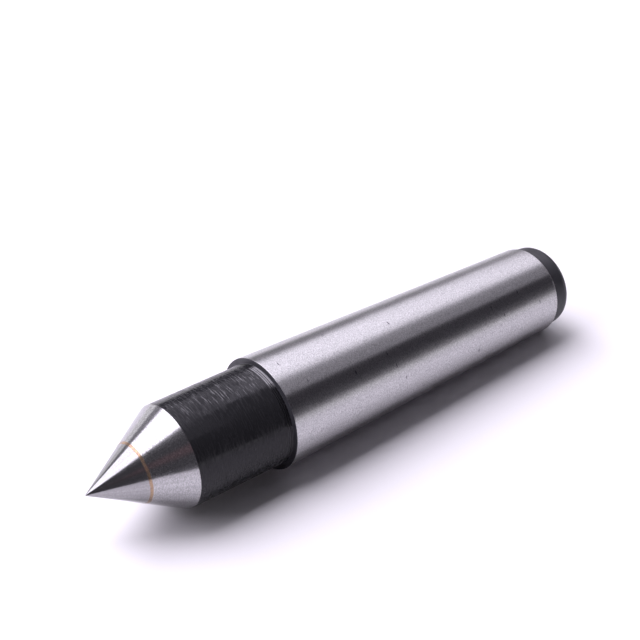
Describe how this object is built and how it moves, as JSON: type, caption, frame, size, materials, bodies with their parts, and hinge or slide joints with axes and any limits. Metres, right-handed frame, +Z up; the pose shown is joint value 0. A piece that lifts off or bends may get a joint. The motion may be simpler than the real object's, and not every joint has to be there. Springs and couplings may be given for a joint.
{
  "type": "lathe dead center",
  "caption": "Dead center for a lathe: short Morse taper shank, black neck, and a 60 degree cone whose brazed carbide point shows a golden ring.",
  "frame": {"origin": "centre of the Morse taper's gauge plane, on the tool's axis, 5 mm behind the shoulder", "axes": "+X along the tool's axis towards the point; the tool lies level with +Z up; +Y completes a right-handed frame"},
  "size_m": [0.0928, 0.018, 0.018],
  "materials": {
    "ground_steel": "satin",
    "black_oxide": "satin",
    "ground_carbide": "gloss",
    "braze_filler": "satin"
  },
  "bodies": {
    "root": {"center_body": "ground_steel", "carbide_tip": "ground_carbide", "braze_joint": "braze_filler"}
  },
  "joints": []
}
